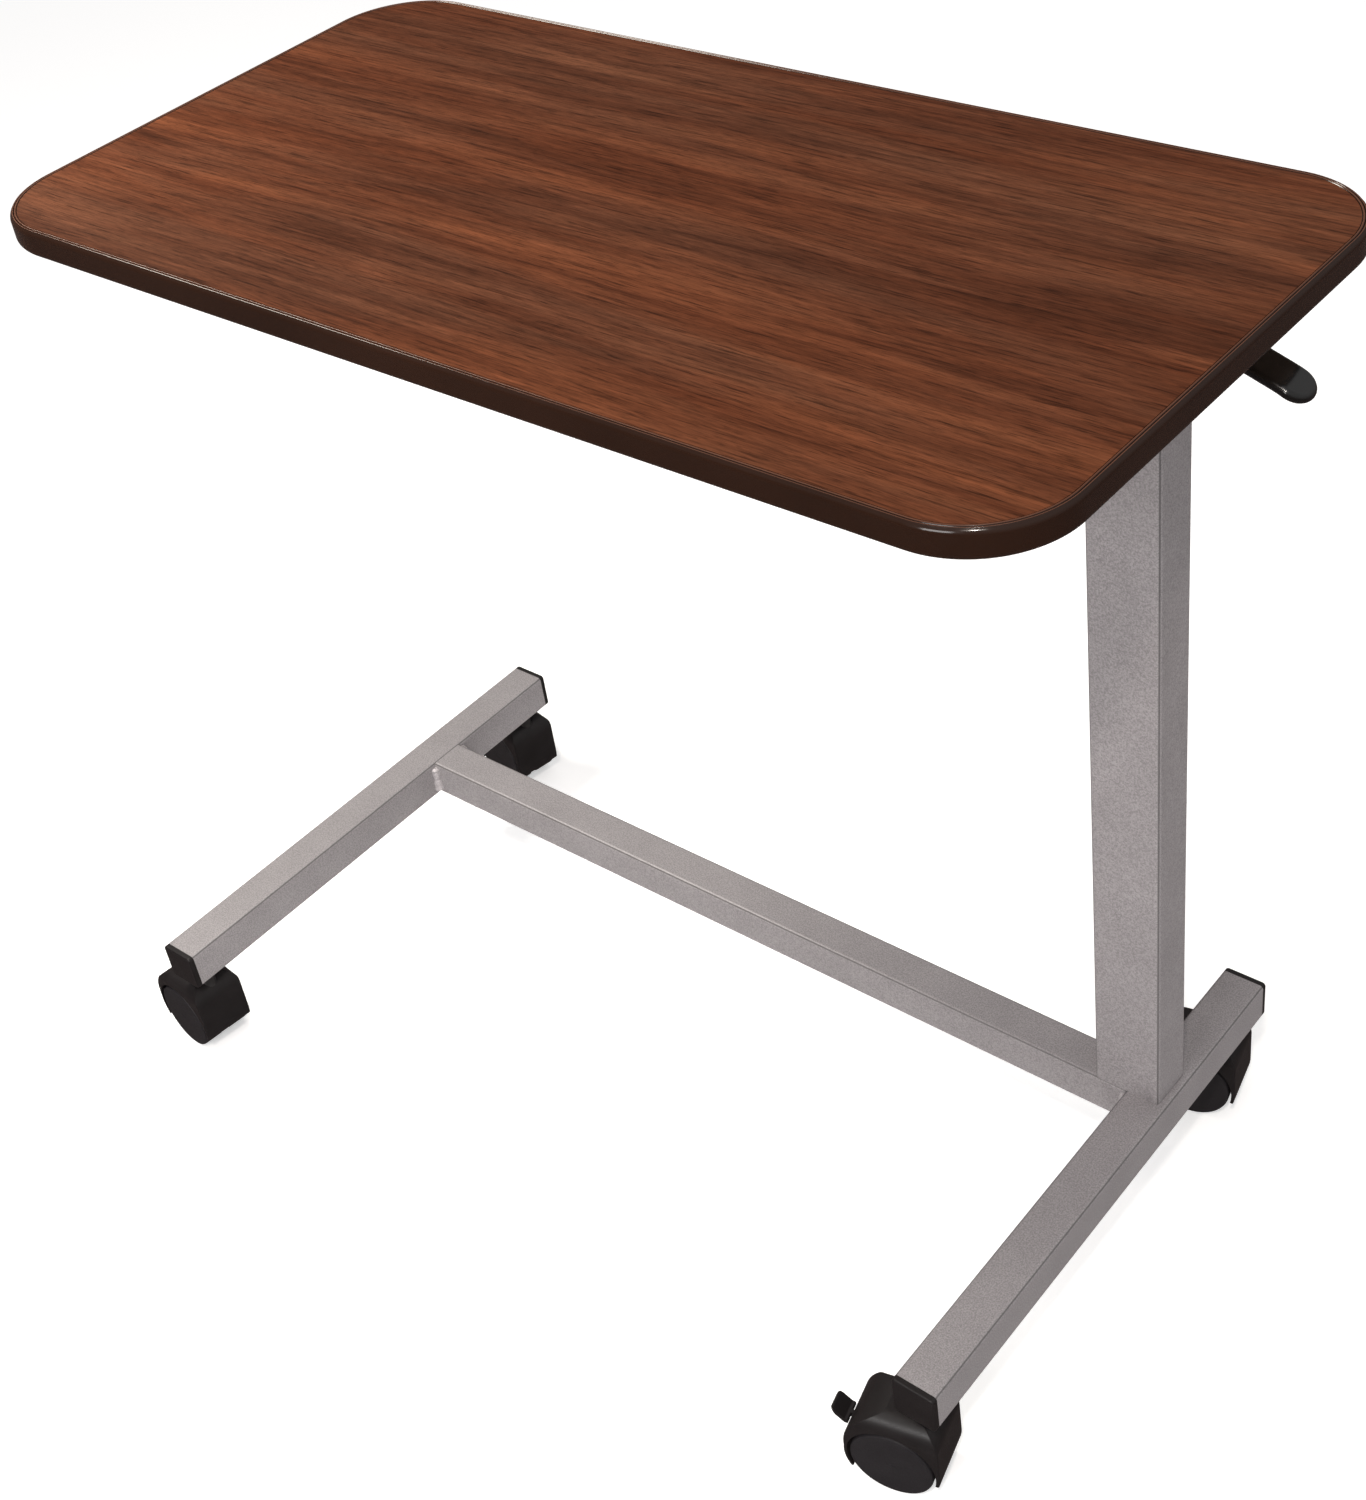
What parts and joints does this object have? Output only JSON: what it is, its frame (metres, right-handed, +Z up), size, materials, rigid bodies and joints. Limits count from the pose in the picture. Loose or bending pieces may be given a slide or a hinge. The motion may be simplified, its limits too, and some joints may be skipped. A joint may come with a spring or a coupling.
{
  "type": "overbed table",
  "caption": "Overbed table: rectangular wood-laminate top on one telescoping mast, H-shaped tube base, hooded twin-wheel casters and a release lever.",
  "frame": {"origin": "on the floor, at the middle of the whole outline seen from above", "axes": "+X along the top towards the end over the mast, +Y across the top towards the side nearer the mast, +Z up"},
  "size_m": [0.8653, 0.4512, 0.767],
  "materials": {
    "wood_laminate": "satin wood-grain laminate",
    "particle_board": "raw board",
    "backing_sheet": "plain backing sheet",
    "edge_moulding": "semi-gloss moulding",
    "powder_coat": "fine textured powder coat",
    "dark_steel": "black paint",
    "bright_steel": "drawn",
    "chromed_rod": "polished",
    "zinc_screw": "zinc plated",
    "black_plastic": "moulded",
    "wheel_nylon": "moulded",
    "dipped_grip": "gloss dip coating",
    "nylon": "natural"
  },
  "bodies": {
    "base": {"mast_outer": "powder_coat", "mast_collar": "black_plastic", "gas_cylinder": "dark_steel", "gas_gland": "black_plastic", "cylinder_plate": "bright_steel", "foot_right": "powder_coat", "foot_left": "powder_coat", "cross_tube": "powder_coat", "weld_beads": "powder_coat", "stem_sockets": "black_plastic", "cap_right_near": "black_plastic", "cap_right_far": "black_plastic", "cap_left_near": "black_plastic", "cap_left_far": "black_plastic"},
    "top": {"table_core": "particle_board", "table_laminate": "wood_laminate", "table_backing": "backing_sheet", "edge_band": "edge_moulding", "support_channel": "dark_steel", "cross_arms": "dark_steel", "frame_screws": "zinc_screw", "mast_inner": "bright_steel", "lower_glide": "nylon", "rod_plate": "bright_steel", "gas_rod": "chromed_rod", "rod_nut": "zinc_screw", "lever_bracket": "dark_steel", "lever_pin": "zinc_screw"},
    "lever": {"release_lever": "dark_steel", "lever_grip": "dipped_grip"},
    "valve": {"release_pin": "chromed_rod"},
    "caster_right_near": {"hood_right_near": "black_plastic", "stem_right_near": "zinc_screw", "axle_right_near": "zinc_screw", "brake_pin_right_near": "zinc_screw"},
    "wheel_right_near_a": {"wheel_right_near_a": "wheel_nylon"},
    "wheel_right_near_b": {"wheel_right_near_b": "wheel_nylon"},
    "brake_right_near": {"pedal_right_near": "black_plastic"},
    "caster_right_far": {"hood_right_far": "black_plastic", "stem_right_far": "zinc_screw", "axle_right_far": "zinc_screw", "brake_pin_right_far": "zinc_screw"},
    "wheel_right_far_a": {"wheel_right_far_a": "wheel_nylon"},
    "wheel_right_far_b": {"wheel_right_far_b": "wheel_nylon"},
    "brake_right_far": {"pedal_right_far": "black_plastic"},
    "caster_left_near": {"hood_left_near": "black_plastic", "stem_left_near": "zinc_screw", "axle_left_near": "zinc_screw"},
    "wheel_left_near_a": {"wheel_left_near_a": "wheel_nylon"},
    "wheel_left_near_b": {"wheel_left_near_b": "wheel_nylon"},
    "caster_left_far": {"hood_left_far": "black_plastic", "stem_left_far": "zinc_screw", "axle_left_far": "zinc_screw"},
    "wheel_left_far_a": {"wheel_left_far_a": "wheel_nylon"},
    "wheel_left_far_b": {"wheel_left_far_b": "wheel_nylon"}
  },
  "joints": [
    {"name": "mast_lift", "type": "slide", "parent": "base", "child": "top", "axis": [0, 0, 1], "range_m": [0, 0.381]},
    {"name": "lever_pull", "type": "hinge", "parent": "top", "child": "lever", "pos_m": [0.36, 0.088, 0.724], "axis": [0, -1, 0], "range_deg": [0, 6], "stiffness_Nm_per_rad": 0.3, "springref_deg": -11.46},
    {"name": "valve_press", "type": "slide", "parent": "top", "child": "valve", "axis": [0, 0, -1], "range_m": [0, 0.0034]},
    {"name": "swivel_right_near", "type": "hinge", "parent": "base", "child": "caster_right_near", "pos_m": [0.344, -0.193, 0.05], "axis": [0, 0, 1], "continuous": true},
    {"name": "roll_right_near_a", "type": "hinge", "parent": "caster_right_near", "child": "wheel_right_near_a", "pos_m": [0.32071, -0.19881, 0.029], "axis": [-0.2419, 0.9703, 0], "continuous": true},
    {"name": "roll_right_near_b", "type": "hinge", "parent": "caster_right_near", "child": "wheel_right_near_b", "pos_m": [0.32071, -0.19881, 0.029], "axis": [-0.2419, 0.9703, 0], "continuous": true},
    {"name": "press_right_near", "type": "hinge", "parent": "caster_right_near", "child": "brake_right_near", "pos_m": [0.30529, -0.20265, 0.0351], "axis": [0.2419, -0.9703, 0], "range_deg": [0, 15]},
    {"name": "swivel_right_far", "type": "hinge", "parent": "base", "child": "caster_right_far", "pos_m": [0.344, 0.193, 0.05], "axis": [0, 0, 1], "continuous": true},
    {"name": "roll_right_far_a", "type": "hinge", "parent": "caster_right_far", "child": "wheel_right_far_a", "pos_m": [0.32052, 0.18801, 0.029], "axis": [-0.2079, 0.9781, 0], "continuous": true},
    {"name": "roll_right_far_b", "type": "hinge", "parent": "caster_right_far", "child": "wheel_right_far_b", "pos_m": [0.32052, 0.18801, 0.029], "axis": [-0.2079, 0.9781, 0], "continuous": true},
    {"name": "press_right_far", "type": "hinge", "parent": "caster_right_far", "child": "brake_right_far", "pos_m": [0.30497, 0.1847, 0.0351], "axis": [0.2079, -0.9781, 0], "range_deg": [0, 15]},
    {"name": "swivel_left_near", "type": "hinge", "parent": "base", "child": "caster_left_near", "pos_m": [-0.372, -0.193, 0.05], "axis": [0, 0, 1], "continuous": true},
    {"name": "roll_left_near_a", "type": "hinge", "parent": "caster_left_near", "child": "wheel_left_near_a", "pos_m": [-0.39587, -0.19049, 0.029], "axis": [0.1045, 0.9945, 0], "continuous": true},
    {"name": "roll_left_near_b", "type": "hinge", "parent": "caster_left_near", "child": "wheel_left_near_b", "pos_m": [-0.39587, -0.19049, 0.029], "axis": [0.1045, 0.9945, 0], "continuous": true},
    {"name": "swivel_left_far", "type": "hinge", "parent": "base", "child": "caster_left_far", "pos_m": [-0.372, 0.193, 0.05], "axis": [0, 0, 1], "continuous": true},
    {"name": "roll_left_far_a", "type": "hinge", "parent": "caster_left_far", "child": "wheel_left_far_a", "pos_m": [-0.39564, 0.19717, 0.029], "axis": [0.1736, 0.9848, 0], "continuous": true},
    {"name": "roll_left_far_b", "type": "hinge", "parent": "caster_left_far", "child": "wheel_left_far_b", "pos_m": [-0.39564, 0.19717, 0.029], "axis": [0.1736, 0.9848, 0], "continuous": true}
  ],
  "couplings": [
    {"joint": "valve_press", "follows": "lever_pull", "m_per_rad": 0.0324}
  ]
}
